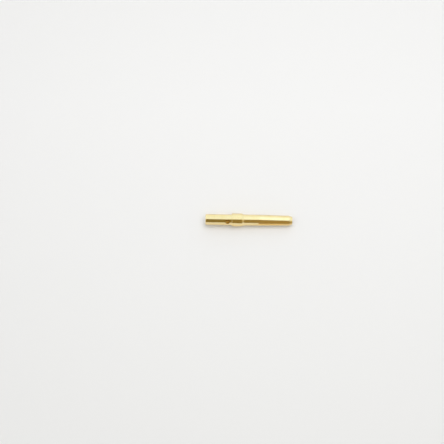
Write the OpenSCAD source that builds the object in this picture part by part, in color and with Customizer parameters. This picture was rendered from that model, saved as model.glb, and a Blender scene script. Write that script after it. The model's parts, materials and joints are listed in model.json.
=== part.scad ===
// Socket contact of a circular connector: one piece of brass, turned, drilled, slotted and gold plated.
// It lies along X on its collar. The crimp barrel points to -X and the pin socket opens to +X.

/* [Crimp barrel] */
// Outside diameter of the crimp barrel
barrel_d = 2.6; // [2.5:0.05:2.85]
// Length of the barrel, from its end to the collar
barrel_l = 6.4; // [5:0.1:9]
// Diameter of the bore that takes the stripped wire
wire_bore_d = 1.8; // [1.2:0.05:1.9]
// Depth of the wire bore, without its drill point
wire_bore_l = 6; // [3:0.1:8]
// Depth of the chamfer that leads the strands into the wire bore
wire_chamfer = 0.2; // [0.05:0.01:0.28]
// Chamfer on the outside edge of the barrel's end
barrel_chamfer = 0.1; // [0.02:0.01:0.18]

/* [Inspection hole] */
// Diameter of the hole through which the seated wire shows
hole_d = 1.1; // [0.4:0.05:1.4]
// Distance from the hole's edge to the end of the wire bore
hole_inset = 0.1; // [0:0.05:2]
// Turn of the hole about the contact's axis, from straight up towards -Y
hole_turn = 46; // [0:1:359]

/* [Collar] */
// Diameter of the collar that seats in the connector's insert
collar_d = 3.15; // [2.95:0.05:4]
// Length of the collar, with its rear chamfer
collar_l = 2.4; // [0.6:0.1:4]
// Chamfer on the collar's rear edge
collar_chamfer = 0.05; // [0.02:0.01:0.2]
// Length of the cone from the collar down to the socket
cone_l = 0.55; // [0.2:0.05:1.5]

/* [Pin socket] */
// Outside diameter of the socket
socket_d = 2.67; // [2.5:0.01:3]
// Length of the socket as turned, from the cone to its mouth
socket_l = 11.63; // [10.8:0.01:16]
// Diameter of the socket's bore as drilled
pin_bore_d = 1.84; // [1.7:0.01:2]
// How far the drilled bore runs on behind the slot
bore_past_slot = 0.5; // [0.3:0.1:2.2]
// Diameter of the pin that the closed tines are sized for
grip_d = 1.6; // [1.5:0.01:1.75]
// Flare of the lead-in at the mouth, on the radius
lead_in = 0.03; // [0.01:0.01:0.1]
// Length of the lead-in at the mouth
lead_in_l = 0.12; // [0.05:0.01:0.4]
// Wall that is left on the mouth's face, between the lead-in and the nose
mouth_wall = 0.04; // [0.02:0.01:0.1]
// Angle of the nose's taper to the axis
nose_angle = 18.5; // [12:0.5:40]
// Rounding of the nose, as the change of its angle on each side of its middle
nose_round = 5.5; // [1:0.5:9]

/* [Tines] */
// Length of the slot, from the mouth to its root
slot_l = 8.25; // [4:0.05:8.8]
// Width of the saw cut
slot_w = 0.46; // [0.45:0.01:0.8]
// Diameter of the slitting saw that rounds the slot's root
saw_d = 20; // [6:1:60]
// Turn of the slot about the contact's axis, from straight up towards -Y
slot_turn = 62; // [0:1:359]
// Angle by which each tine is bent in towards the axis
close_angle = 1.3; // [0.9:0.05:1.5]
// Distance from the slot's root to the bend
bend_past_root = 0.3; // [0.2:0.05:1]

/* [Drills] */
// Point angle of the drills that end both bores
drill_point = 118; // [90:1:150]

/* [Hidden] */
$fn = 96;

// How far a cutting shape runs past the surface that it cuts
overrun = 1;

// Places along the axis, measured from the end of the barrel
collar_x = barrel_l;
cone_x = collar_x + collar_l;
socket_x = cone_x + cone_l;
mouth_x = socket_x + socket_l;
slot_x = mouth_x - slot_l;
bend_x = slot_x + bend_past_root;
lead_in_x = mouth_x - lead_in_l;
pin_bore_x = slot_x - bore_past_slot;
hole_x = wire_bore_l - hole_inset - hole_d / 2;

// Radii of the turned and drilled surfaces, with the room that the bent tines take at the mouth
barrel_r = barrel_d / 2;
collar_r = collar_d / 2;
socket_r = socket_d / 2;
wire_bore_r = wire_bore_d / 2;
pin_bore_r = pin_bore_d / 2;
grip_r = grip_d / 2;
lead_in_r = grip_r + lead_in;
tine_set = (mouth_x - bend_x) * tan(close_angle);
nose_r = lead_in_r + mouth_wall + tine_set;
saw_r = saw_d / 2;

// The nose is an arc from its edge on the tines to the mouth's face
nose_drop = socket_r - nose_r;
nose_l = nose_drop / tan(nose_angle);
nose_edge = nose_angle - nose_round;
nose_arc_r = nose_drop / sin(nose_angle) / (2 * sin(nose_round));
nose_crest_x = mouth_x - nose_l - nose_arc_r * sin(nose_edge);

// Half the height of the cutting shapes across the socket, and how far the bend's mitre leans over that height
cut_h = socket_r + overrun;
mitre_lean = cut_h * tan(close_angle / 2);

// Overall length with the tines bent in, which tips the mouth's outer edge forward
overall_l = bend_x + (mouth_x - bend_x) * cos(close_angle) + nose_r * sin(close_angle);

// Depth of the conical end that a drill of radius r leaves
function point_l(r) = r / tan(drill_point / 2);

// Half section of the turned outside, as [radius, distance along the axis]
module outside_section() {
    polygon([
        [0, 0],
        [barrel_r - barrel_chamfer, 0],
        [barrel_r, barrel_chamfer],
        [barrel_r, collar_x],
        [collar_r - collar_chamfer, collar_x],
        [collar_r, collar_x + collar_chamfer],
        [collar_r, cone_x],
        [socket_r, socket_x],
        [socket_r, mouth_x],
        [0, mouth_x]
    ]);
}

// Half section of what is turned off the socket's end to leave a rounded nose
module nose_waste_section() {
    difference() {
        translate([grip_r, nose_crest_x]) square([socket_r, mouth_x]);
        translate([socket_r - nose_arc_r * cos(nose_edge), nose_crest_x]) circle(r = nose_arc_r);
    }
}

// Half section of the drilled and chamfered wire bore
module wire_bore_section() {
    polygon([
        [0, -overrun],
        [wire_bore_r + wire_chamfer + overrun, -overrun],
        [wire_bore_r, wire_chamfer],
        [wire_bore_r, wire_bore_l],
        [0, wire_bore_l + point_l(wire_bore_r)]
    ]);
}

// Half section of the pin bore, which is drilled straight in from the mouth
module pin_bore_section() {
    polygon([
        [0, pin_bore_x - point_l(pin_bore_r)],
        [pin_bore_r, pin_bore_x],
        [pin_bore_r, mouth_x + overrun],
        [0, mouth_x + overrun]
    ]);
}

// Half section of the pin that sizes the closed tines, with the flare of the lead-in
module gauge_section() {
    polygon([
        [0, pin_bore_x],
        [grip_r, pin_bore_x],
        [grip_r, lead_in_x],
        [lead_in_r + overrun * lead_in / lead_in_l, mouth_x + overrun],
        [0, mouth_x + overrun]
    ]);
}

// The contact as it leaves the lathe, with its axis along X and the barrel's end at the origin
module turned_blank() {
    rotate([0, 90, 0])
        rotate_extrude()
            difference() {
                outside_section();
                nose_waste_section();
                wire_bore_section();
                pin_bore_section();
            }
}

// The cut of the slitting saw right across the socket, with the saw's arc at its root
module tine_slot() {
    translate([slot_x + saw_r, 0, 0]) {
        rotate([90, 0, 0]) cylinder(h = slot_w, r = saw_r, center = true);
        translate([0, -slot_w / 2, -saw_r]) cube([mouth_x, slot_w, saw_d]);
    }
}

// The turned blank with its slot upright, before the tines are bent
module slotted_blank() {
    difference() {
        turned_blank();
        tine_slot();
    }
}

// Outline of the blank's part past the bend on one side of the slot, up to that side's mitre
module tine_outline(side) {
    polygon([
        [bend_x, 0],
        [bend_x - mitre_lean, side * cut_h],
        [mouth_x + overrun, side * cut_h],
        [mouth_x + overrun, 0]
    ]);
}

// Outline of all that lies past the bend, up to both mitres
module tines_outline() {
    polygon([
        [bend_x, 0],
        [bend_x + mitre_lean, cut_h],
        [mouth_x + overrun, cut_h],
        [mouth_x + overrun, -cut_h],
        [bend_x + mitre_lean, -cut_h]
    ]);
}

// One tine, bent in about the middle of the slot, where side is 1 or -1
module bent_tine(side) {
    translate([bend_x, 0, 0])
        rotate([0, 0, -side * close_angle])
            translate([-bend_x, 0, 0])
                intersection() {
                    slotted_blank();
                    linear_extrude(height = 2 * cut_h, center = true) tine_outline(side);
                }
}

// The slotted blank with both tines bent in and sized for the pin
module closed_blank() {
    difference() {
        union() {
            difference() {
                slotted_blank();
                linear_extrude(height = 2 * cut_h, center = true) tines_outline();
            }
            bent_tine(1);
            bent_tine(-1);
        }
        rotate([0, 90, 0]) rotate_extrude() gauge_section();
    }
}

// The hole drilled from the outside of the barrel into the wire bore
module inspection_hole() {
    translate([hole_x, 0, 0])
        rotate([hole_turn, 0, 0])
            cylinder(h = barrel_r + overrun, d = hole_d);
}

// The finished contact, centred along X and with the collar's underside at Z = 0
module socket_contact() {
    color("#e0bf6c")
        translate([-overall_l / 2, 0, max(collar_r, barrel_r, socket_r)])
            difference() {
                rotate([slot_turn, 0, 0]) closed_blank();
                inspection_hole();
            }
}

socket_contact();
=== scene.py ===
"""Dressed model of a gold-plated socket contact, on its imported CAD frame.

The contact is turned from a ring on a bench where one unit is a millimetre and X runs along its axis to the
socket's mouth. There it is slotted, its tines are bent in, and it is cross-drilled and deburred. Then it is
brought down to metres and laid in the CAD frame, where Z is up.
"""

from __future__ import annotations

import json
import logging
import math
from dataclasses import dataclass
from enum import Enum

import bmesh
import bpy
from mathutils import Euler, Matrix, Vector

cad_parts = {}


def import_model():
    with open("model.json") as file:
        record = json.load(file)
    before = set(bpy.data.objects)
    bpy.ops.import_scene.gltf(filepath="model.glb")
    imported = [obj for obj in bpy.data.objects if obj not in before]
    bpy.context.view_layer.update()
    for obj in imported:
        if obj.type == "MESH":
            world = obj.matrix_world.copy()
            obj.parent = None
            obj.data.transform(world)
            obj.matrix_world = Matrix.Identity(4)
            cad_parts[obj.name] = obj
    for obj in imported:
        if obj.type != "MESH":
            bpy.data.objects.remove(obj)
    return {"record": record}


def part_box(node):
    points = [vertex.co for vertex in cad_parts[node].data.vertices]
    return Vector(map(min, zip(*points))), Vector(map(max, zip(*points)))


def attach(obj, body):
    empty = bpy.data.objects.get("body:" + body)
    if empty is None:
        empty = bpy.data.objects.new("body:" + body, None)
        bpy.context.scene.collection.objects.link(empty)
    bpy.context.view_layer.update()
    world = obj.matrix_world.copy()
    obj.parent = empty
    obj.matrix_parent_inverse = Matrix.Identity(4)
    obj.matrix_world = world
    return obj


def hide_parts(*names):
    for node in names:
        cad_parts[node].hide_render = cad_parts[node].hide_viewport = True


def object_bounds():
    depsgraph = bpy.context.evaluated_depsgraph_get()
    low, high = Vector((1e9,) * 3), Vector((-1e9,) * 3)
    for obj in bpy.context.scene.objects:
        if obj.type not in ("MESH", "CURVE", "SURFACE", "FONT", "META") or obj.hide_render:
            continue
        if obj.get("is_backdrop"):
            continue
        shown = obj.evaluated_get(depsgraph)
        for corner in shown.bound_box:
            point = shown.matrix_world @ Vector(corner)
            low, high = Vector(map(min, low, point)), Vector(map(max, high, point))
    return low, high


LOG = logging.getLogger("socket_contact")
MM = 0.001
NODE = "socket_contact"
# Places on the bench that are closer than this, in millimetres, count as one.
NEAR = 1e-4

Colour = tuple[float, float, float, float]
Place = tuple[float, float, float]


class Finish(Enum):
    """The gold surfaces of the contact, by the tool that left them under the plating."""

    TURNED = "gold_turned"
    DRILLED = "gold_drilled"
    PIERCED = "gold_pierced"
    SAWN = "gold_sawn"


class Cut(Enum):
    """What a boolean does to the piece on the bench."""

    REMOVE = "DIFFERENCE"
    KEEP = "INTERSECT"


class Pick(Enum):
    """What edit mode selects."""

    POINTS = "VERT"
    EDGES = "EDGE"
    FACES = "FACE"


@dataclass(frozen=True)
class Corner:
    """One corner of the half section, in millimetres.

    Attributes:
        x: Distance along the axis from the barrel's end.
        r: Distance from the axis.
        soft: Radius that rounds the corner, or 0 for a sharp one.
    """

    x: float
    r: float
    soft: float = 0.0


@dataclass(frozen=True)
class Softness:
    """Radii that round the corners of the half section, in millimetres."""

    wire_bore: float = 0.04
    wire_lead_in: float = 0.02
    barrel_face: float = 0.03
    barrel_edge: float = 0.06
    collar_foot: float = 0.05
    collar_face: float = 0.02
    collar_edge: float = 0.03
    cone_top: float = 0.08
    cone_foot: float = 0.25
    nose_edge: float = 0.2
    mouth: float = 0.02


class Bench:
    """Plain steps on the bench that several pieces share."""

    @staticmethod
    def clear() -> None:
        """Leave edit mode and drop every selection."""
        if bpy.context.mode != "OBJECT":
            bpy.ops.object.mode_set(mode="OBJECT")
        bpy.ops.object.select_all(action="DESELECT")

    @staticmethod
    def settle(name: str) -> bpy.types.Object:
        """Name the new primitive and put its place into its mesh.

        Args:
            name: The object's name.

        Returns:
            The object, at the origin and unturned.
        """
        made = bpy.context.object
        made.name = made.data.name = name
        bpy.ops.object.transform_apply(location=True, rotation=True, scale=True)
        return made

    @staticmethod
    def edit(made: bpy.types.Object, pick: Pick = Pick.POINTS) -> None:
        """Enter edit mode on one object with nothing selected.

        Args:
            made: The object to edit.
            pick: What is to be selected there.
        """
        Bench.clear()
        bpy.context.view_layer.objects.active = made
        made.select_set(True)
        bpy.ops.object.mode_set(mode="EDIT")
        bpy.ops.mesh.select_mode(type=pick.value)
        bpy.ops.mesh.select_all(action="DESELECT")

    @staticmethod
    def ring(made: bpy.types.Object, *places: float) -> None:
        """Cut rings of edges round an object and stay in edit mode on it.

        Args:
            made: The object to cut.
            *places: Where the rings lie along X.
        """
        Bench.edit(made)
        for x in places:
            bpy.ops.mesh.select_all(action="SELECT")
            bpy.ops.mesh.bisect(plane_co=(x, 0, 0), plane_no=(1, 0, 0))

    @staticmethod
    def sort(mesh: bpy.types.Mesh) -> None:
        """Put a mesh's points, edges and faces in the order of their places.

        A boolean's own order varies from run to run, and a merge of near points depends on it.

        Args:
            mesh: The mesh to sort.
        """
        work = bmesh.new()
        work.from_mesh(mesh)
        ranks = {vert: n for n, vert in enumerate(sorted(work.verts, key=lambda vert: vert.co[:]))}
        work.verts.sort(key=ranks.get)
        work.verts.index_update()
        for parts in (work.edges, work.faces):
            corners = {part: sorted(vert.index for vert in part.verts) for part in parts}
            ranks = {part: n for n, part in enumerate(sorted(parts, key=corners.get))}
            parts.sort(key=ranks.get)
        work.to_mesh(mesh)
        work.free()

    @staticmethod
    def cut(made: bpy.types.Object, tool: bpy.types.Object, way: Cut = Cut.REMOVE) -> None:
        """Apply a boolean with a tool, then throw the tool away.

        Args:
            made: The object that is cut.
            tool: The object that cuts it, whose finish the cut faces take.
            way: Whether the tool's room is removed or kept.
        """
        Bench.clear()
        bpy.context.view_layer.objects.active = made
        made.select_set(True)
        step = made.modifiers.new(tool.name, "BOOLEAN")
        step.operation = way.value
        step.solver = "EXACT"
        step.material_mode = "TRANSFER"
        step.object = tool
        bpy.ops.object.modifier_apply(modifier=step.name)
        Bench.sort(made.data)
        mesh = tool.data
        bpy.data.objects.remove(tool)
        bpy.data.meshes.remove(mesh)


@dataclass
class TurnedBlank:
    """The contact as it leaves the lathe, with both bores drilled, in millimetres and degrees.

    Lengths and angles that are not listed here have the names and values of the CAD model.

    Attributes:
        half_length: Half the length of the finished contact, whose middle is the origin.
        soft: Radii of the rounded corners.
        most_reach: Largest share of a straight line that one rounded corner takes.
        hold: Distance of the point that holds a rounding, as a share of the rounding's reach.
        most_hold: Largest share of a straight line between a rounding and that point.
        inward: How far a face leans to the axis before it belongs to a bore, as a cosine.
        segments: Flats in one turn.
        arc_steps: Flats in a rounded corner.
        nose_steps: Flats along the bowed nose.
    """

    half_length: float
    collar_r: float
    grip_r: float
    wire_bore_r: float
    pin_bore_r: float
    barrel_r: float = 1.3
    barrel_l: float = 6.4
    barrel_chamfer: float = 0.1
    wire_bore_l: float = 6.0
    wire_chamfer: float = 0.2
    collar_l: float = 2.4
    collar_chamfer: float = 0.05
    cone_l: float = 0.55
    socket_r: float = 1.335
    socket_l: float = 11.63
    bore_past_slot: float = 0.5
    slot_l: float = 8.25
    close_angle: float = 1.3
    bend_past_root: float = 0.3
    lead_in: float = 0.03
    lead_in_l: float = 0.12
    mouth_wall: float = 0.04
    nose_angle: float = 18.5
    nose_round: float = 5.5
    drill_point: float = 118.0
    soft: Softness = Softness()
    most_reach: float = 0.42
    hold: float = 0.4
    most_hold: float = 0.05
    inward: float = 0.3
    segments: int = 192
    arc_steps: int = 4
    nose_steps: int = 6

    @property
    def mouth_x(self) -> float:
        """Place of the mouth as turned, from the barrel's end."""
        return self.barrel_l + self.collar_l + self.cone_l + self.socket_l

    @property
    def slot_x(self) -> float:
        """Place of the slot's root, from the barrel's end."""
        return self.mouth_x - self.slot_l

    @property
    def bend_x(self) -> float:
        """Place where the tines bend, from the barrel's end."""
        return self.slot_x + self.bend_past_root

    @property
    def nose_r(self) -> float:
        """Outside radius of the mouth as turned, with the room that the bent tines take."""
        tine_set = (self.mouth_x - self.bend_x) * math.tan(math.radians(self.close_angle))
        return self.grip_r + self.lead_in + self.mouth_wall + tine_set

    def point_l(self, r: float) -> float:
        """Depth of the cone that a drill of radius r leaves."""
        return r / math.tan(math.radians(self.drill_point / 2))

    def nose(self) -> list[Corner]:
        """Corners of the bowed nose, from its edge on the tines to the mouth's face.

        Returns:
            The corners in order, the first and the last one rounded.
        """
        drop = self.socket_r - self.nose_r
        mean, bow = math.radians(self.nose_angle), math.radians(self.nose_round)
        run = drop / math.tan(mean)
        arc_r = drop / math.sin(mean) / (2 * math.sin(bow))
        start = mean - bow
        centre_x = self.mouth_x - run - arc_r * math.sin(start)
        centre_r = self.socket_r - arc_r * math.cos(start)
        made = []
        for k in range(self.nose_steps + 1):
            turn = start + 2 * bow * k / self.nose_steps
            made.append(Corner(centre_x + arc_r * math.sin(turn), centre_r + arc_r * math.cos(turn)))
        made[0] = Corner(made[0].x, made[0].r, self.soft.nose_edge)
        made[-1] = Corner(self.mouth_x, self.nose_r, self.soft.mouth)
        return made

    def corners(self) -> list[Corner]:
        """Corners of the half section, from the bottom of the wire bore round the outside into the pin bore.

        Returns:
            The corners in order.
        """
        collar_x = self.barrel_l
        cone_x = collar_x + self.collar_l
        soft = self.soft
        return [
            Corner(self.wire_bore_l, self.wire_bore_r),
            Corner(self.wire_chamfer, self.wire_bore_r, soft.wire_bore),
            Corner(0.0, self.wire_bore_r + self.wire_chamfer, soft.wire_lead_in),
            Corner(0.0, self.barrel_r - self.barrel_chamfer, soft.barrel_face),
            Corner(self.barrel_chamfer, self.barrel_r, soft.barrel_edge),
            Corner(collar_x, self.barrel_r, soft.collar_foot),
            Corner(collar_x, self.collar_r - self.collar_chamfer, soft.collar_face),
            Corner(collar_x + self.collar_chamfer, self.collar_r, soft.collar_edge),
            Corner(cone_x, self.collar_r, soft.cone_top),
            Corner(cone_x + self.cone_l, self.socket_r, soft.cone_foot),
            *self.nose(),
            Corner(self.mouth_x, self.pin_bore_r),
            Corner(self.slot_x - self.bore_past_slot, self.pin_bore_r),
        ]

    def section(self) -> list[tuple[float, float]]:
        """The half section as points, with its corners rounded and a holding point beside each rounding.

        Returns:
            Pairs of distance along the axis and radius.
        """
        corners = self.corners()
        made = [(corners[0].x, corners[0].r)]
        for before, here, after in zip(corners, corners[1:], corners[2:]):
            if here.soft == 0:
                made.append((here.x, here.r))
                continue
            at = Vector((here.x, here.r))
            back, on = Vector((before.x, before.r)) - at, Vector((after.x, after.r)) - at
            bend = math.pi - back.angle(on)
            shorter = min(back.length, on.length)
            reach = min(here.soft * math.tan(bend / 2), self.most_reach * shorter)
            radius = reach / math.tan(bend / 2)
            hold = min(self.hold * reach, self.most_hold * shorter)
            back.normalize()
            on.normalize()
            centre = at + (back + on).normalized() * radius / math.cos(bend / 2)
            first = at + back * reach - centre
            side = 1 if first.x * on.y - first.y * on.x > 0 else -1
            points = [at + back * (reach + hold)]
            for k in range(self.arc_steps + 1):
                points.append(centre + Matrix.Rotation(side * bend * k / self.arc_steps, 2) @ first)
            points.append(at + on * (reach + hold))
            made += [(p.x, p.y) for p in points]
        made.append((corners[-1].x, corners[-1].r))
        return made

    @staticmethod
    def close(step: float) -> None:
        """Carry the selected ring on to a drill's point, a step along X, and close it there."""
        bpy.ops.mesh.extrude_region_move(TRANSFORM_OT_translate={"value": (step, 0, 0)})
        bpy.ops.mesh.merge(type="COLLAPSE")

    def build(self) -> bpy.types.Object:
        """Turn the blank ring by ring along its section.

        Returns:
            The closed blank, in millimetres.
        """
        path = [(x - self.half_length, r) for x, r in self.section()]
        Bench.clear()
        bpy.ops.mesh.primitive_circle_add(
            vertices=self.segments,
            radius=path[0][1],
            fill_type="NOTHING",
            location=(path[0][0], 0, 0),
            rotation=(0, math.pi / 2, 0),
        )
        blank = Bench.settle("contact")
        Bench.edit(blank)
        bpy.ops.mesh.select_all(action="SELECT")
        for (x, r), (next_x, next_r) in zip(path, path[1:]):
            bpy.ops.mesh.extrude_region_move(TRANSFORM_OT_translate={"value": (next_x - x, 0, 0)})
            ratio = next_r / r
            bpy.ops.transform.resize(value=(1, ratio, ratio), center_override=(next_x, 0, 0))
        self.close(-self.point_l(self.pin_bore_r))
        bpy.ops.mesh.select_all(action="DESELECT")
        bpy.ops.mesh.select_non_manifold(
            extend=False,
            use_wire=False,
            use_boundary=True,
            use_multi_face=False,
            use_non_contiguous=False,
            use_verts=False,
        )
        self.close(self.point_l(self.wire_bore_r))
        bpy.ops.mesh.select_all(action="SELECT")
        bpy.ops.mesh.normals_make_consistent(inside=False)
        Bench.clear()
        return blank

    def dress(self, blank: bpy.types.Object, finishes: dict[Finish, bpy.types.Material]) -> None:
        """Give the outside its turned finish and both bores their drilled one.

        Args:
            blank: The turned blank.
            finishes: The materials by finish.
        """
        for finish in (Finish.TURNED, Finish.DRILLED):
            blank.data.materials.append(finishes[finish])
        Bench.edit(blank, Pick.FACES)
        mesh = bmesh.from_edit_mesh(blank.data)
        for face in mesh.faces:
            middle = face.calc_center_median()
            out = Vector((0, middle.y, middle.z))
            face.select_set(face.normal.dot(out) < -self.inward * out.length)
        bmesh.update_edit_mesh(blank.data)
        blank.active_material_index = blank.data.materials.find(Finish.DRILLED.value)
        bpy.ops.object.material_slot_assign()
        Bench.clear()


@dataclass
class InspectionHole:
    """The hole through one wall of the barrel, which shows the seated wire.

    Attributes:
        inset: Distance from the hole's edge to the end of the wire bore.
        turn: Turn of the hole about the axis, from straight up towards -Y, in degrees.
        overrun: How far the drill stands out of the barrel.
        sides: Flats round the hole.
    """

    blank: TurnedBlank
    radius: float = 0.55
    inset: float = 0.1
    turn: float = 46.0
    overrun: float = 1.0
    sides: int = 96

    @property
    def x(self) -> float:
        """Place of the hole, in the CAD frame."""
        return self.blank.wire_bore_l - self.inset - self.radius - self.blank.half_length

    def build(self, finish: bpy.types.Material) -> bpy.types.Object:
        """Make the drill that cuts the hole.

        Args:
            finish: The material of the hole's wall.

        Returns:
            The drill, in millimetres.
        """
        depth = self.blank.barrel_r + self.overrun
        lean = Euler((math.radians(self.turn), 0, 0))
        along = Vector((0, 0, depth / 2))
        along.rotate(lean)
        Bench.clear()
        bpy.ops.mesh.primitive_cylinder_add(
            vertices=self.sides,
            radius=self.radius,
            depth=depth,
            location=Vector((self.x, 0, 0)) + along,
            rotation=lean,
        )
        drill = Bench.settle("drill")
        drill.data.materials.append(finish)
        return drill


@dataclass
class TineSlot:
    """The saw cut right across the socket, and the bend that closes its tines.

    Attributes:
        width: Width of the saw cut.
        saw_r: Radius of the saw, which rounds the slot's root.
        turn: Turn of the slot about the axis, from straight up towards -Y, in degrees.
        overrun: How far the blade stands out on each side.
        rim_steps: Flats round the saw.
        bend_run: Length over which a tine bends.
        bend_steps: Small bends that make up the whole one.
    """

    blank: TurnedBlank
    width: float = 0.46
    saw_r: float = 10.0
    turn: float = 62.0
    overrun: float = 1.0
    rim_steps: int = 512
    bend_run: float = 0.45
    bend_steps: int = 6

    @property
    def saw_x(self) -> float:
        """Place of the saw's centre, in the CAD frame."""
        return self.blank.slot_x + self.saw_r - self.blank.half_length

    def build(self, finish: bpy.types.Material) -> bpy.types.Object:
        """Make the blade that cuts the upright slot, with its root rounded by the saw.

        Args:
            finish: The material of the slot's walls.

        Returns:
            The blade, in millimetres.
        """
        blank = self.blank
        tall = 2 * (blank.socket_r + self.overrun)
        back = blank.slot_x - self.overrun - blank.half_length
        front = blank.mouth_x + self.overrun - blank.half_length
        Bench.clear()
        bpy.ops.mesh.primitive_cube_add(
            size=1,
            location=((back + front) / 2, 0, 0),
            scale=(front - back, self.width, tall),
        )
        blade = Bench.settle("blade")
        Bench.clear()
        bpy.ops.mesh.primitive_cylinder_add(
            vertices=self.rim_steps,
            radius=self.saw_r,
            depth=4 * self.width,
            location=(self.saw_x, 0, 0),
            rotation=(math.pi / 2, 0, 0),
        )
        saw = Bench.settle("saw")
        for made in (blade, saw):
            made.data.materials.append(finish)
        Bench.cut(blade, saw, Cut.KEEP)
        return blade

    def bend(self, contact: bpy.types.Object) -> None:
        """Bend both tines in towards the axis, over a short run past the slot's root.

        Args:
            contact: The blank with its upright slot.
        """
        middle = self.blank.bend_x - self.blank.half_length
        shares = [(k + 0.5) / self.bend_steps - 0.5 for k in range(self.bend_steps)]
        hinges = [middle + self.bend_run * share for share in shares]
        step = math.radians(self.blank.close_angle) / self.bend_steps
        Bench.ring(contact, *hinges)
        for x in reversed(hinges):
            for side in (1, -1):
                mesh = bmesh.from_edit_mesh(contact.data)
                for vert in mesh.verts:
                    vert.select_set(vert.co.x > x + NEAR and vert.co.y * side > 0)
                mesh.select_flush_mode()
                bmesh.update_edit_mesh(contact.data)
                bpy.ops.transform.rotate(value=side * step, orient_axis="Z", center_override=(x, 0, 0))
        Bench.clear()


@dataclass
class GaugePin:
    """The pin that sizes the bent tines and flares their lead-in.

    Attributes:
        overrun: How far the pin stands out of the mouth.
    """

    blank: TurnedBlank
    overrun: float = 0.5

    def build(self, finish: bpy.types.Material) -> bpy.types.Object:
        """Make the pin that cuts the lands.

        Args:
            finish: The material of the lands.

        Returns:
            The pin, in millimetres.
        """
        blank = self.blank
        back = blank.slot_x - blank.half_length
        lead = blank.mouth_x - blank.lead_in_l - blank.half_length
        front = blank.mouth_x + self.overrun - blank.half_length
        Bench.clear()
        bpy.ops.mesh.primitive_cylinder_add(
            vertices=blank.segments,
            radius=blank.grip_r,
            depth=front - back,
            location=((back + front) / 2, 0, 0),
            rotation=(0, math.pi / 2, 0),
        )
        pin = Bench.settle("gauge")
        Bench.ring(pin, lead)
        mesh = bmesh.from_edit_mesh(pin.data)
        for vert in mesh.verts:
            vert.select_set(vert.co.x > lead + NEAR)
        mesh.select_flush_mode()
        bmesh.update_edit_mesh(pin.data)
        ratio = 1 + (front - lead) * blank.lead_in / blank.lead_in_l / blank.grip_r
        bpy.ops.transform.resize(value=(1, ratio, ratio), center_override=(0, 0, 0))
        Bench.clear()
        pin.data.materials.append(finish)
        return pin


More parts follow.
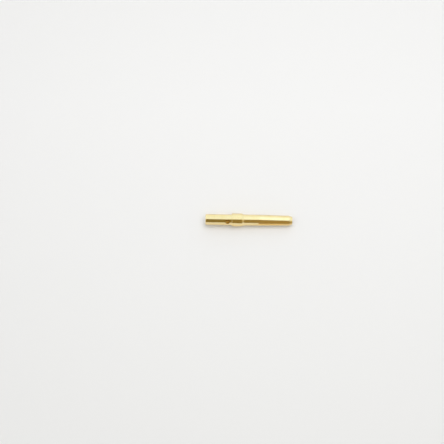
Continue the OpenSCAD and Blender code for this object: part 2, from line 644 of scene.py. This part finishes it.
@dataclass
class SocketContact:
    """The whole contact: one turned piece, slotted, closed in, pierced and deburred.

    Attributes:
        axis_z: Height of the axis as the contact lies.
        burr: Width of the broken edges.
        burr_steps: Flats across a broken edge.
        sliver: Size of the slivers that the cuts leave, which are merged away first.
        crease: Angle between two faces, in degrees, past which their edge stays sharp.
    """

    blank: TurnedBlank
    slot: TineSlot
    gauge: GaugePin
    hole: InspectionHole
    axis_z: float
    burr: float = 0.02
    burr_steps: int = 2
    sliver: float = 2e-3
    crease: float = 32.0

    @classmethod
    def from_record(cls, record: dict) -> SocketContact:
        """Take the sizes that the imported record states.

        Args:
            record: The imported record.

        Returns:
            The contact, in millimetres.
        """
        radius = {m["name"]: m["dims"].get("r_mm") for m in record["mounts"]}
        low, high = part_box(NODE)
        blank = TurnedBlank(
            half_length=(high.x - low.x) / 2 / MM,
            collar_r=radius["collar"],
            grip_r=radius["pin_socket"],
            wire_bore_r=radius["wire_barrel"],
            pin_bore_r=radius["pin_bore"],
        )
        axis_z = (low.z + high.z) / 2 / MM
        return cls(blank, TineSlot(blank), GaugePin(blank), InspectionHole(blank), axis_z)

    def deburr(self, contact: bpy.types.Object) -> None:
        """Break the sharp edges that the saw left on the outside, up to the thin mouth.

        Args:
            contact: The cut contact.
        """
        names = [m.name for m in contact.data.materials]
        edge_of_cut = {names.index(Finish.TURNED.value), names.index(Finish.SAWN.value)}
        Bench.edit(contact, Pick.EDGES)
        bpy.ops.mesh.select_all(action="SELECT")
        bpy.ops.mesh.remove_doubles(threshold=self.sliver)
        bpy.ops.mesh.select_all(action="DESELECT")
        mesh = bmesh.from_edit_mesh(contact.data)
        tip = max(vert.co.x for vert in mesh.verts) - self.blank.mouth_wall
        for edge in mesh.edges:
            behind = min(vert.co.x for vert in edge.verts) < tip
            edge.select_set(behind and {f.material_index for f in edge.link_faces} == edge_of_cut)
        bmesh.update_edit_mesh(contact.data)
        bpy.ops.mesh.bevel(
            offset=self.burr,
            segments=self.burr_steps,
            affect="EDGES",
            clamp_overlap=False,
            material=names.index(Finish.TURNED.value),
        )
        Bench.clear()

    def build(self, finishes: dict[Finish, bpy.types.Material]) -> bpy.types.Object:
        """Turn, slot, close, pierce and deburr the contact, and lay it in its place in metres.

        Args:
            finishes: The materials by finish.

        Returns:
            The contact in the CAD frame, in metres.
        """
        contact = self.blank.build()
        self.blank.dress(contact, finishes)
        Bench.cut(contact, self.slot.build(finishes[Finish.SAWN]))
        self.slot.bend(contact)
        Bench.cut(contact, self.gauge.build(finishes[Finish.DRILLED]))
        contact.rotation_euler = (math.radians(self.slot.turn), 0, 0)
        contact = Bench.settle("contact_body")
        Bench.cut(contact, self.hole.build(finishes[Finish.PIERCED]))
        self.deburr(contact)
        Bench.edit(contact)
        bpy.ops.mesh.select_all(action="SELECT")
        bpy.ops.mesh.remove_doubles(threshold=NEAR)
        bpy.ops.mesh.dissolve_degenerate(threshold=NEAR)
        bpy.ops.mesh.normals_make_consistent(inside=False)
        bpy.ops.transform.translate(value=(0, 0, self.axis_z))
        bpy.ops.transform.resize(value=(MM, MM, MM), center_override=(0, 0, 0))
        bpy.ops.object.mode_set(mode="OBJECT")
        bpy.ops.object.shade_smooth_by_angle(angle=math.radians(self.crease))
        normals = contact.modifiers.new("normals", "WEIGHTED_NORMAL")
        normals.keep_sharp = True
        bpy.ops.object.modifier_apply(modifier=normals.name)
        return contact

    @staticmethod
    def rest(contact: bpy.types.Object) -> tuple[Vector, float]:
        """The line on which the contact lies, from its collar's front edge to its nose.

        Args:
            contact: The finished contact.

        Returns:
            The point under the collar, in metres, and the line's rise towards +X, in radians.
        """
        past_cone = 3 * MM
        points = [vert.co for vert in contact.data.vertices]
        heel = min((p for p in points if p.x < 0), key=lambda p: (round(p.z, 8), -p.x))
        rise = min((p.z - heel.z) / (p.x - heel.x) for p in points if p.x > heel.x + past_cone)
        return Vector((heel.x, 0, heel.z)), math.atan(rise)


class Nodes:
    """A short way to place and link shader nodes in one tree."""

    def __init__(self, tree: bpy.types.NodeTree) -> None:
        """Start on an empty tree."""
        self.tree = tree
        tree.nodes.clear()

    def add(self, kind: str, **values: object) -> bpy.types.Node:
        """Add one node.

        Args:
            kind: The node's type, without its ShaderNode prefix, or a full type name.
            **values: Properties of the node.

        Returns:
            The node.
        """
        made = self.tree.nodes.new(kind if kind.startswith("Node") else "ShaderNode" + kind)
        for name, value in values.items():
            setattr(made, name, value)
        return made

    def feed(self, target: bpy.types.NodeSocket, source: object) -> None:
        """Set a socket to a constant, or link it to another socket."""
        if isinstance(source, bpy.types.NodeSocket):
            self.tree.links.new(source, target)
        else:
            target.default_value = source

    def math(self, operation: str, *terms: object) -> bpy.types.NodeSocket:
        """Add a math node.

        Args:
            operation: The node's operation.
            *terms: Sockets or numbers.

        Returns:
            The node's value.
        """
        made = self.add("Math", operation=operation)
        for socket, term in zip(made.inputs, terms):
            self.feed(socket, term)
        return made.outputs["Value"]

    def noise(
        self, source: bpy.types.NodeSocket, scale: float, detail: float = 2.0, flat: bool = False
    ) -> bpy.types.NodeSocket:
        """Add a noise texture.

        Args:
            source: A vector socket, or a value socket for noise along one line.
            scale: Features to the unit.
            detail: Octaves of finer noise.
            flat: True for noise along one line.

        Returns:
            The noise's value, about 0.5.
        """
        made = self.add("TexNoise", noise_dimensions="1D" if flat else "3D")
        self.feed(made.inputs["W" if flat else "Vector"], source)
        made.inputs["Scale"].default_value = scale
        made.inputs["Detail"].default_value = detail
        return made.outputs["Fac"]


class Effect(Enum):
    """Node groups that the finishes share."""

    TOOL_LINES = "tool_lines"
    PLATING = "plating"
    HANDLING = "handling"


class Effects:
    """Builds each shared node group once."""

    def __init__(self) -> None:
        """Build all groups."""
        self.made = {
            Effect.TOOL_LINES: self.tool_lines(),
            Effect.PLATING: self.plating(),
            Effect.HANDLING: self.handling(),
        }

    @staticmethod
    def start(
        effect: Effect, inputs: dict[str, str], outputs: dict[str, str]
    ) -> tuple[Nodes, bpy.types.Node, bpy.types.Node]:
        """Make an empty group with its sockets.

        Args:
            effect: Which group it is.
            inputs: Socket types by input name.
            outputs: Socket types by output name.

        Returns:
            The node helper, the group's input node and its output node.
        """
        tree = bpy.data.node_groups.new(effect.value, "ShaderNodeTree")
        nodes = Nodes(tree)
        for way, sockets in (("INPUT", inputs), ("OUTPUT", outputs)):
            for name, kind in sockets.items():
                tree.interface.new_socket(name, in_out=way, socket_type="NodeSocket" + kind)
        return nodes, nodes.add("NodeGroupInput"), nodes.add("NodeGroupOutput")

    def tool_lines(self) -> bpy.types.NodeTree:
        """Grooves that a tool leaves side by side, from the distance along its feed.

        Returns:
            A group with the grooves' height and a broad streak mask.
        """
        nodes, into, out = self.start(
            Effect.TOOL_LINES,
            {"Feed": "Float", "Pitch": "Float", "Vector": "Vector"},
            {"Height": "Float", "Streak": "Float"},
        )
        turns = nodes.math("DIVIDE", into.outputs["Feed"], into.outputs["Pitch"])
        wander = nodes.noise(into.outputs["Vector"], scale=700.0, detail=1.0)
        turns = nodes.math("MULTIPLY_ADD", wander, 0.6, turns)
        fine = nodes.noise(turns, scale=1.0, detail=3.0, flat=True)
        groove = nodes.math("SINE", nodes.math("MULTIPLY", turns, 2 * math.pi))
        height = nodes.math("MULTIPLY_ADD", groove, 0.12, fine)
        nodes.feed(out.inputs["Height"], height)
        nodes.feed(out.inputs["Streak"], nodes.noise(turns, scale=0.17, flat=True))
        return nodes.tree

    def plating(self) -> bpy.types.NodeTree:
        """The gold's colour, a little warmer and paler from place to place, and its fine grain.

        Returns:
            A group with the colour and the grain's height.
        """
        nodes, into, out = self.start(
            Effect.PLATING,
            {"Vector": "Vector", "Gold": "Color", "Deep": "Color", "Spread": "Float"},
            {"Color": "Color", "Grain": "Float"},
        )
        cloud = nodes.noise(into.outputs["Vector"], scale=420.0, detail=4.0)
        grain = nodes.noise(into.outputs["Vector"], scale=24000.0)
        share = nodes.math("MULTIPLY_ADD", grain, 0.3, nodes.math("SUBTRACT", cloud, 0.15))
        ramp = nodes.add("MapRange", interpolation_type="SMOOTHSTEP")
        nodes.feed(ramp.inputs["Value"], share)
        ramp.inputs["From Min"].default_value = 0.34
        ramp.inputs["From Max"].default_value = 0.66
        nodes.feed(ramp.inputs["To Max"], into.outputs["Spread"])
        mix = nodes.add("Mix", data_type="RGBA")
        nodes.feed(mix.inputs["Factor"], ramp.outputs["Result"])
        nodes.feed(mix.inputs[6], into.outputs["Gold"])
        nodes.feed(mix.inputs[7], into.outputs["Deep"])
        nodes.feed(out.inputs["Color"], mix.outputs[2])
        nodes.feed(out.inputs["Grain"], grain)
        return nodes.tree

    def handling(self) -> bpy.types.NodeTree:
        """Faint rubs and specks from sorting and packing.

        Returns:
            A group with a mask of the rubs and one of the specks.
        """
        nodes, into, out = self.start(
            Effect.HANDLING,
            {"Vector": "Vector"},
            {"Rubs": "Float", "Specks": "Float"},
        )
        lean = nodes.add("Mapping")
        nodes.feed(lean.inputs["Vector"], into.outputs["Vector"])
        lean.inputs["Rotation"].default_value = (0.6, 0.3, 0.5)
        lean.inputs["Scale"].default_value = (1.0, 9.0, 7.0)
        for name, source, scale, low, high in (
            ("Rubs", lean.outputs["Vector"], 900.0, 0.60, 0.74),
            ("Specks", into.outputs["Vector"], 7000.0, 0.70, 0.76),
        ):
            ramp = nodes.add("MapRange", interpolation_type="SMOOTHSTEP")
            nodes.feed(ramp.inputs["Value"], nodes.noise(source, scale, detail=3.0))
            ramp.inputs["From Min"].default_value = low
            ramp.inputs["From Max"].default_value = high
            nodes.feed(out.inputs[name], ramp.outputs["Result"])
        return nodes.tree


@dataclass(frozen=True)
class GoldFinish:
    """Bright gold over one kind of tool mark.

    Attributes:
        finish: Which surface it is.
        pitch: Distance between tool marks, in metres.
        groove: Depth of the tool marks, in metres.
        roughness: Roughness between the marks.
        streak: How much the broad streaks add to the roughness.
        metallic: Below 1 for a satin surface, which also scatters light.
        centre: Where the tool's arcs are struck from, or None for rings about the axis.
        gold: Colour of most of the plating.
        deep: Colour of its warmer clouds.
        spread: How far the clouds go towards that colour.
        rub: What a rub adds to the roughness.
        speck: What a speck adds to the roughness.
        grain: Depth of the plating's grain, in metres.
    """

    finish: Finish
    pitch: float
    groove: float
    roughness: float
    streak: float
    metallic: float = 1.0
    centre: Place | None = None
    gold: Colour = (0.925, 0.735, 0.385, 1.0)
    deep: Colour = (0.905, 0.70, 0.33, 1.0)
    spread: float = 0.8
    rub: float = 0.06
    speck: float = 0.10
    grain: float = 4e-7

    @classmethod
    def for_contact(cls, saw_centre: Place) -> tuple[GoldFinish, ...]:
        """List the finishes of the contact.

        Args:
            saw_centre: Where the saw's marks are struck from, in metres.

        Returns:
            One finish for each kind of surface.
        """
        bore_gold, bore_deep = (0.90, 0.77, 0.47, 1.0), (0.88, 0.74, 0.42, 1.0)
        return (
            cls(Finish.TURNED, pitch=4.5e-5, groove=6e-7, roughness=0.15, streak=0.05),
            cls(
                Finish.DRILLED,
                pitch=7e-5,
                groove=8e-7,
                roughness=0.15,
                streak=0.06,
                gold=bore_gold,
                deep=bore_deep,
            ),
            cls(
                Finish.PIERCED,
                pitch=6e-5,
                groove=8e-7,
                roughness=0.15,
                streak=0.06,
                gold=bore_gold,
                deep=bore_deep,
            ),
            cls(
                Finish.SAWN,
                pitch=6e-5,
                groove=1.4e-6,
                roughness=0.50,
                streak=0.10,
                metallic=0.1,
                centre=saw_centre,
                gold=(0.97, 0.70, 0.20, 1.0),
                deep=(0.95, 0.64, 0.16, 1.0),
            ),
        )

    def build(self, effects: Effects) -> bpy.types.Material:
        """Make the material.

        Args:
            effects: The shared node groups.

        Returns:
            The material.
        """
        made = bpy.data.materials.new(self.finish.value)
        made.use_nodes = True
        nodes = Nodes(made.node_tree)
        place = nodes.add("TexCoord").outputs["Object"]
        if self.centre is None:
            split = nodes.add("SeparateXYZ")
            nodes.feed(split.inputs["Vector"], place)
            feed = split.outputs["X"]
        else:
            reach = nodes.add("VectorMath", operation="DISTANCE")
            nodes.feed(reach.inputs[0], place)
            reach.inputs[1].default_value = self.centre
            feed = reach.outputs["Value"]
        lines = nodes.add("Group", node_tree=effects.made[Effect.TOOL_LINES])
        nodes.feed(lines.inputs["Feed"], feed)
        nodes.feed(lines.inputs["Vector"], place)
        lines.inputs["Pitch"].default_value = self.pitch
        tone = nodes.add("Group", node_tree=effects.made[Effect.PLATING])
        nodes.feed(tone.inputs["Vector"], place)
        tone.inputs["Gold"].default_value = self.gold
        tone.inputs["Deep"].default_value = self.deep
        tone.inputs["Spread"].default_value = self.spread
        marks = nodes.add("Group", node_tree=effects.made[Effect.HANDLING])
        nodes.feed(marks.inputs["Vector"], place)
        least = self.roughness - self.streak / 2
        rough = nodes.math("MULTIPLY_ADD", lines.outputs["Streak"], self.streak, least)
        rough = nodes.math("MULTIPLY_ADD", marks.outputs["Rubs"], self.rub, rough)
        rough = nodes.math("MULTIPLY_ADD", marks.outputs["Specks"], self.speck, rough)
        grooves = nodes.add("Bump")
        grooves.inputs["Distance"].default_value = self.groove
        nodes.feed(grooves.inputs["Height"], lines.outputs["Height"])
        grain = nodes.add("Bump")
        grain.inputs["Distance"].default_value = self.grain
        nodes.feed(grain.inputs["Height"], tone.outputs["Grain"])
        nodes.feed(grain.inputs["Normal"], grooves.outputs["Normal"])
        metal = nodes.add("BsdfPrincipled")
        metal.inputs["Metallic"].default_value = self.metallic
        nodes.feed(metal.inputs["Base Color"], tone.outputs["Color"])
        nodes.feed(metal.inputs["Roughness"], rough)
        nodes.feed(metal.inputs["Normal"], grain.outputs["Normal"])
        nodes.feed(nodes.add("OutputMaterial").inputs["Surface"], metal.outputs["BSDF"])
        return made


@dataclass(frozen=True)
class PlainPaint:
    """A matt studio surface with a faint tooth, a little darker towards the near side: painted shade for the
    light's falloff there.

    Attributes:
        far: Colour behind the contact.
        near: Colour at the near edge of the picture, darker than far as painted shade for the light's
            falloff.
        far_y: Place where the far colour ends, in metres.
        near_y: Place where the near colour begins, in metres.
        tooth: Depth of the tooth, in metres.
        scale: Features of the tooth to the metre.
        gloss: Level of the faint shine, where 0.5 is common.
    """

    name: str
    far: Colour
    near: Colour
    far_y: float
    near_y: float
    tooth: float
    scale: float
    roughness: float = 0.95
    gloss: float = 0.1

    def build(self) -> bpy.types.Material:
        """Make the material."""
        made = bpy.data.materials.new(self.name)
        made.use_nodes = True
        nodes = Nodes(made.node_tree)
        place = nodes.add("TexCoord").outputs["Object"]
        bump = nodes.add("Bump")
        bump.inputs["Distance"].default_value = self.tooth
        nodes.feed(bump.inputs["Height"], nodes.noise(place, self.scale, detail=3.0))
        paint = nodes.add("BsdfPrincipled")
        split = nodes.add("SeparateXYZ")
        nodes.feed(split.inputs["Vector"], place)
        # Painted shade: the colour darkens from far to near along Y, in place of the light falling off
        # towards the near side.
        share = nodes.add("MapRange")
        nodes.feed(share.inputs["Value"], split.outputs["Y"])
        share.inputs["From Min"].default_value = self.far_y
        share.inputs["From Max"].default_value = self.near_y
        tone = nodes.add("Mix", data_type="RGBA")
        nodes.feed(tone.inputs["Factor"], share.outputs["Result"])
        tone.inputs[6].default_value = self.far
        tone.inputs[7].default_value = self.near
        nodes.feed(paint.inputs["Base Color"], tone.outputs[2])
        paint.inputs["Roughness"].default_value = self.roughness
        paint.inputs["Specular IOR Level"].default_value = self.gloss
        nodes.feed(paint.inputs["Normal"], bump.outputs["Normal"])
        nodes.feed(nodes.add("OutputMaterial").inputs["Surface"], paint.outputs["BSDF"])
        return made


@dataclass(frozen=True)
class WarmCard:
    """The glow of the card that the metal mirrors, from dim brown in the middle to pale at both sides.

    Attributes:
        stops: Turns from the card's middle in degrees, from side to side, each with the card's colour there.
    """

    stops: tuple[tuple[float, Colour], ...] = (
        (-79.0, (0.90, 0.86, 0.80, 1.0)),
        (-45.0, (0.36, 0.29, 0.14, 1.0)),
        (-25.0, (0.23, 0.185, 0.07, 1.0)),
        (-2.0, (0.23, 0.185, 0.07, 1.0)),
        (6.0, (0.41, 0.30, 0.125, 1.0)),
        (35.0, (0.29, 0.235, 0.125, 1.0)),
        (46.0, (0.33, 0.27, 0.155, 1.0)),
        (52.0, (0.60, 0.51, 0.335, 1.0)),
        (79.0, (0.62, 0.54, 0.38, 1.0)),
    )

    @property
    def half_turn(self) -> float:
        """Turn of the card's sides from its middle, in degrees."""
        return self.stops[-1][0]

    def build(self) -> bpy.types.Material:
        """Make the material."""
        made = bpy.data.materials.new("warm_card")
        made.use_nodes = True
        nodes = Nodes(made.node_tree)
        split = nodes.add("SeparateXYZ")
        nodes.feed(split.inputs["Vector"], nodes.add("TexCoord").outputs["Object"])
        near = nodes.math("MULTIPLY", split.outputs["Y"], -1.0)
        turn = nodes.math("ARCTAN2", split.outputs["X"], near)
        share = nodes.math("MULTIPLY_ADD", turn, 0.5 / math.radians(self.half_turn), 0.5)
        ramp = nodes.add("ValToRGB")
        nodes.feed(ramp.inputs["Fac"], share)
        points = ramp.color_ramp.elements
        for at, _ in self.stops[1:-1]:
            points.new(0.5 + 0.5 * at / self.half_turn)
        for point, (_, colour) in zip(points, self.stops):
            point.color = colour
        glow = nodes.add("Emission")
        nodes.feed(glow.inputs["Color"], ramp.outputs["Color"])
        nodes.feed(nodes.add("OutputMaterial").inputs["Surface"], glow.outputs["Emission"])
        return made


@dataclass(frozen=True)
class Lamp:
    """One soft lamp.

    Attributes:
        size: Width and height, in metres.
        place: Where it stands, in metres.
        power: Its power, in watts.
        aim: The point that it faces, in metres.
        colour: The light's colour.
        mirrored: True for a lamp that only the metal shows, False for one that only lights matt surfaces.
    """

    name: str
    size: tuple[float, float]
    place: Place
    power: float
    aim: Place = (0.0, 0.0, 0.0)
    colour: tuple[float, float, float] = (1.0, 1.0, 1.0)
    mirrored: bool = False

    def build(self) -> bpy.types.Object:
        """Hang the lamp, turned to its aim."""
        data = bpy.data.lights.new(self.name, "AREA")
        data.shape = "RECTANGLE"
        data.size, data.size_y = self.size
        data.energy = self.power
        data.color = self.colour
        made = bpy.data.objects.new(self.name, data)
        made.location = self.place
        made.rotation_euler = (Vector(self.aim) - Vector(self.place)).to_track_quat("-Z", "Y").to_euler()
        made.visible_glossy = self.mirrored
        made.visible_diffuse = not self.mirrored
        bpy.context.scene.collection.objects.link(made)
        return made


@dataclass
class Studio:
    """The pale floor, the soft light and the card that the metal mirrors.

    Attributes:
        heel: The point where the floor meets the collar, in metres.
        rise: The floor's rise towards +X, in radians.
        card_low: Elevation of the card's lower edge, in degrees.
        card_high: Elevation of the card's upper edge, in degrees.
        ambient: Strength of the surround's light on matt surfaces, where 1 is what the camera sees.
        seen_tint: Colour of the surround as the camera and matt surfaces see it.
        mirrored_tint: Colour of the surround in the metal, like a cool sky.
        bounces: How often light may be mirrored on its way out of the bores and the slot.
    """

    heel: Vector
    rise: float
    floor_side: float = 6.0
    card_distance: float = 0.55
    card_low: float = 6.0
    card_high: float = 76.5
    ambient: float = 0.51
    seen_tint: Colour = (1.0, 0.995, 0.985, 1.0)
    mirrored_tint: Colour = (1.0, 1.14, 1.26, 1.0)
    bounces: int = 12
    paper: PlainPaint = PlainPaint(
        "paper",
        far=(0.85, 0.85, 0.845, 1.0),
        # The near colour is painted shade: the paper darkens towards the near side where the light falls
        # off.
        near=(0.79, 0.79, 0.78, 1.0),
        far_y=0.03,
        near_y=-0.057,
        tooth=2e-5,
        scale=900.0,
    )
    lamps: tuple[Lamp, ...] = (
        Lamp("overhead", size=(0.22, 0.22), place=(0.02, 0.03, 0.32), power=0.45),
        Lamp("fill", size=(0.60, 0.10), place=(0.0, -0.18, 0.47), power=0.50),
        Lamp("window", size=(0.30, 0.30), place=(0.05, 0.45, 0.35), power=0.25),
        Lamp(
            "softbox",
            size=(0.50, 0.90),
            place=(0.28, 0.27, 0.73),
            power=0.6,
            aim=(0.28, 0.0, 0.0),
            colour=(0.6, 0.7, 1.0),
            mirrored=True,
        ),
    )

    def floor(self) -> bpy.types.Object:
        """Lay the floor under the contact.

        Returns:
            The floor.
        """
        Bench.clear()
        bpy.ops.mesh.primitive_plane_add(
            size=self.floor_side,
            location=self.heel,
            rotation=(0, -self.rise, 0),
        )
        made = Bench.settle("floor")
        made.data.materials.append(self.paper.build())
        made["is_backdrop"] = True
        return made

    def card(self) -> bpy.types.Object:
        """Hang a curved card on the near side, which only the metal shows.

        Returns:
            The card.
        """
        finish = WarmCard()
        Bench.clear()
        bpy.ops.mesh.primitive_uv_sphere_add(
            segments=72,
            ring_count=120,
            radius=self.card_distance,
            location=(0, 0, 0),
        )
        made = Bench.settle("card")
        Bench.edit(made, Pick.FACES)
        mesh = bmesh.from_edit_mesh(made.data)
        for face in mesh.faces:
            middle = face.calc_center_median().normalized()
            up = math.degrees(math.asin(middle.z))
            turn = math.degrees(math.atan2(middle.x, -middle.y))
            kept = self.card_low < up < self.card_high and abs(turn) < finish.half_turn
            face.select_set(not kept)
        bmesh.update_edit_mesh(made.data)
        bpy.ops.mesh.delete(type="FACE")
        Bench.clear()
        made.data.materials.append(finish.build())
        made.visible_camera = made.visible_diffuse = made.visible_shadow = False
        made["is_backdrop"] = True
        return made

    def light(self) -> None:
        """Hang the lamps in a surround that is brighter and cooler in the metal than on matt surfaces."""
        world = bpy.data.worlds.new("surround")
        bpy.context.scene.world = world
        world.use_nodes = True
        nodes = Nodes(world.node_tree)
        path = nodes.add("LightPath")
        shown = nodes.math("MAXIMUM", path.outputs["Is Camera Ray"], path.outputs["Is Glossy Ray"])
        sky = nodes.add("Background")
        tint = nodes.add("Mix", data_type="RGBA")
        nodes.feed(tint.inputs["Factor"], path.outputs["Is Glossy Ray"])
        tint.inputs[6].default_value = self.seen_tint
        tint.inputs[7].default_value = self.mirrored_tint
        nodes.feed(sky.inputs["Color"], tint.outputs[2])
        strength = nodes.math("MULTIPLY_ADD", shown, 1.0 - self.ambient, self.ambient)
        nodes.feed(sky.inputs["Strength"], strength)
        nodes.feed(nodes.add("OutputWorld").inputs["Surface"], sky.outputs["Background"])
        for lamp in self.lamps:
            lamp.build()
        bpy.context.scene.cycles.glossy_bounces = self.bounces


@dataclass
class PhotoCamera:
    """The camera of the photograph, by what it shows.

    Attributes:
        elevation: Height of the line of sight above the floor, in degrees.
        roll: Turn of the frame about the line of sight, in degrees.
        lens: Focal length, in millimetres.
        sensor: Width of the sensor, in millimetres.
        width: What the frame covers at the contact, in metres.
        right: Share of the frame by which the contact stands right of the middle.
        up: Share of the frame by which the contact stands above the middle.
    """

    elevation: float = 70.0
    roll: float = 0.9
    lens: float = 70.0
    sensor: float = 36.0
    width: float = 0.1077
    right: float = 26.8 / 444
    up: float = 1.95 / 444

    def build(self, aim: Vector) -> bpy.types.Object:
        """Place the camera.

        Args:
            aim: The contact's middle.

        Returns:
            The camera.
        """
        data = bpy.data.cameras.new("photo_camera")
        data.lens = self.lens
        data.sensor_width = self.sensor
        data.clip_start, data.clip_end = 0.002, 20.0
        made = bpy.data.objects.new("photo_camera", data)
        lift = math.radians(self.elevation)
        back = Vector((0, -math.cos(lift), math.sin(lift)))
        level = (-back).to_track_quat("-Z", "Y").to_matrix()
        turn = level @ Matrix.Rotation(math.radians(self.roll), 3, "Z")
        distance = self.width * self.lens / self.sensor
        across, above = turn.col[0], turn.col[1]
        made.location = aim + back * distance - (across * self.right + above * self.up) * self.width
        made.rotation_euler = turn.to_euler()
        bpy.context.scene.collection.objects.link(made)
        bpy.context.scene.camera = made
        return made


def main() -> None:
    """Build the contact, the studio and the camera, and report each piece."""
    logging.basicConfig(level=logging.INFO, format="%(name)s: %(message)s")
    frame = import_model()
    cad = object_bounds()
    Bench.clear()
    bpy.context.scene.view_settings.view_transform = "Standard"
    contact = SocketContact.from_record(frame["record"])
    saw_centre = (contact.slot.saw_x * MM, 0.0, contact.axis_z * MM)
    effects = Effects()
    finishes = {gold.finish: gold.build(effects) for gold in GoldFinish.for_contact(saw_centre)}
    piece = contact.build(finishes)
    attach(piece, "root")
    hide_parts(NODE)
    LOG.info("%s: %d faces", piece.name, len(piece.data.polygons))
    studio = Studio(*contact.rest(piece))
    for stage in (studio.floor(), studio.card()):
        LOG.info("%s: %d faces", stage.name, len(stage.data.polygons))
    studio.light()
    low, high = cad
    camera = PhotoCamera().build((low + high) / 2)
    LOG.info("%s: %s", camera.name, [round(x, 4) for x in camera.location])


if __name__ == "__main__":
    main()
